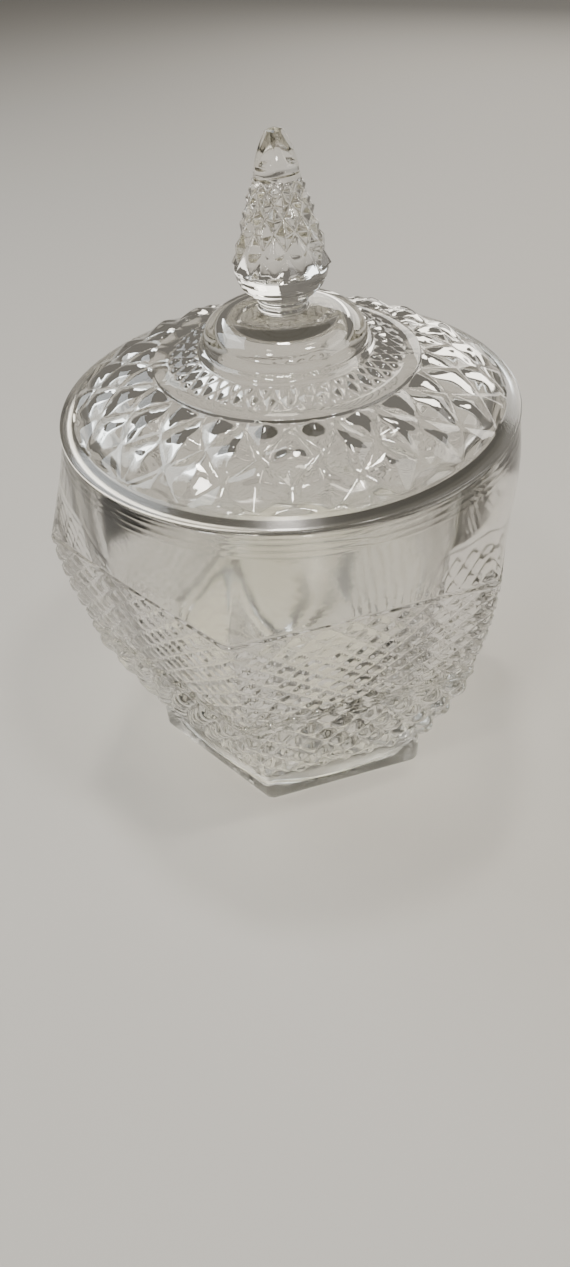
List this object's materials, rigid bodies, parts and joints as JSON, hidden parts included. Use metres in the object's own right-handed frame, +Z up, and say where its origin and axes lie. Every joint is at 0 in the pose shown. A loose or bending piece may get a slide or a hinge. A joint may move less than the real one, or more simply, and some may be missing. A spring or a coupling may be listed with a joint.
{
  "type": "candy dish",
  "caption": "Lidded candy dish of clear pressed glass: six-sided footed bowl with diamond relief and a round star-cut lid with a pointed finial.",
  "frame": {"origin": "centre of the foot's underside, on the surface the dish stands on", "axes": "+Z up through the finial; one corner of the six-sided bowl faces -Y"},
  "size_m": [0.1832, 0.205, 0.2621],
  "materials": {
    "bowl_glass": "polished clear pressed glass with a faint grey-green cast in the thick parts",
    "lid_glass": "polished clear pressed glass, bright along the facets"
  },
  "bodies": {
    "bowl": {"bowl": "bowl_glass"},
    "lid": {"lid": "lid_glass"}
  },
  "joints": [
    {"name": "lid_lift", "type": "slide", "parent": "bowl", "child": "lid", "axis": [0, 0, 1], "range_m": [0, 0.12]}
  ]
}
